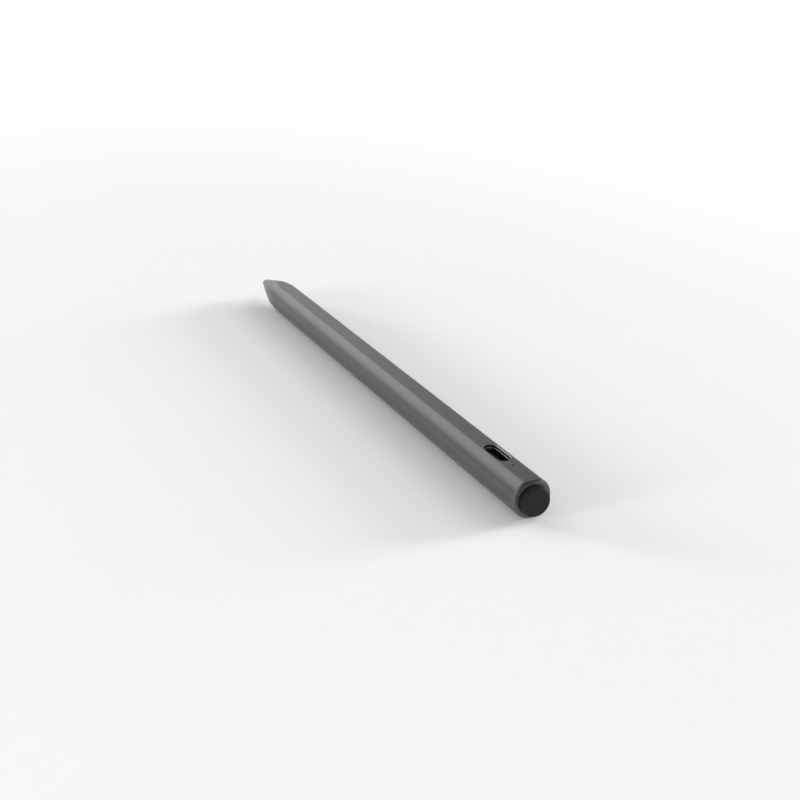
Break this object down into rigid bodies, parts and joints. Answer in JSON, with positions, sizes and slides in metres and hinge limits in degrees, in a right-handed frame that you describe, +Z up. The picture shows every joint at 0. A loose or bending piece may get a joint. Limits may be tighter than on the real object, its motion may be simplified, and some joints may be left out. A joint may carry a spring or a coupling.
{
  "type": "stylus pen",
  "caption": "Slim rechargeable tablet stylus: round barrel with one flat, tapered screw-on nib, oval charging socket and status light in the flat, and a rubber push button in the tail.",
  "frame": {"origin": "middle of the pen's length, on the ground plane under the barrel's axis", "axes": "+X from the nib to the tail button along the barrel, +Z up out of the flat"},
  "size_m": [0.166, 0.009, 0.0086],
  "materials": {
    "anodised_barrel": "satin grey anodised",
    "collar_metal": "satin grey anodised, turned",
    "nib_plastic": "fine matte moulded",
    "cap_rubber": "matte black moulded",
    "ring_rubber": "matte",
    "port_steel": "drawn and plated",
    "port_plastic": "moulded black",
    "contact_gold": "gold plated",
    "pipe_plastic": "smoked clear",
    "brass": "turned",
    "conductive_core": "carbon filled",
    "spring_metal": "rolled strip",
    "inner_plastic": "moulded",
    "circuit_board": "solder mask",
    "chip_resin": "moulded resin",
    "ferrite": "pressed ferrite",
    "capacitor_ceramic": "fired ceramic",
    "magnet_plating": "nickel plated",
    "battery_can": "drawn can",
    "pad_foam": "closed-cell foam",
    "flex_film": "amber film",
    "led_resin": "clear resin"
  },
  "bodies": {
    "pen_body": {"barrel": "anodised_barrel", "tail_collar": "collar_metal", "nib_post": "brass", "nose_plug": "inner_plastic", "tip_contact": "spring_metal", "inner_carrier": "inner_plastic", "main_board": "circuit_board", "controller_chip": "chip_resin", "driver_chip": "chip_resin", "boost_inductor": "ferrite", "board_capacitors": "capacitor_ceramic", "front_holder": "inner_plastic", "front_magnets": "magnet_plating", "battery_cell": "battery_can", "battery_pads": "pad_foam", "battery_tabs": "spring_metal", "link_flex": "flex_film", "tail_board": "circuit_board", "charger_chip": "chip_resin", "rear_holder": "inner_plastic", "rear_magnet": "magnet_plating", "port_shell": "port_steel", "port_tongue": "port_plastic", "port_contacts": "contact_gold", "status_led": "led_resin", "light_pipe": "pipe_plastic", "switch_body": "chip_resin"},
    "tail_button": {"tail_cap": "cap_rubber", "button_plunger": "inner_plastic"},
    "switch_slide": {"switch_plunger": "port_plastic"},
    "nib_carriage": {"nib_ring": "ring_rubber"},
    "nib_tip": {"nib": "nib_plastic", "nib_insert": "brass", "nib_core": "conductive_core"}
  },
  "joints": [
    {"name": "button_press", "type": "slide", "parent": "pen_body", "child": "tail_button", "axis": [-1, 0, 0], "range_m": [0, 0.0005], "stiffness_N_per_m": 2400, "springref_m": -0.00033},
    {"name": "switch_press", "type": "slide", "parent": "pen_body", "child": "switch_slide", "axis": [-1, 0, 0], "range_m": [0, 0.0005]},
    {"name": "nib_advance", "type": "slide", "parent": "pen_body", "child": "nib_carriage", "axis": [-1, 0, 0], "range_m": [0, 0.0032]},
    {"name": "nib_unscrew", "type": "hinge", "parent": "nib_carriage", "child": "nib_tip", "pos_m": [-0.0726, 0, 0.0045], "axis": [-1, 0, 0], "range_deg": [0, 2880]}
  ],
  "couplings": [
    {"joint": "switch_press", "follows": "button_press", "ratio": 1},
    {"joint": "nib_unscrew", "follows": "nib_advance", "rad_per_m": 15708}
  ]
}
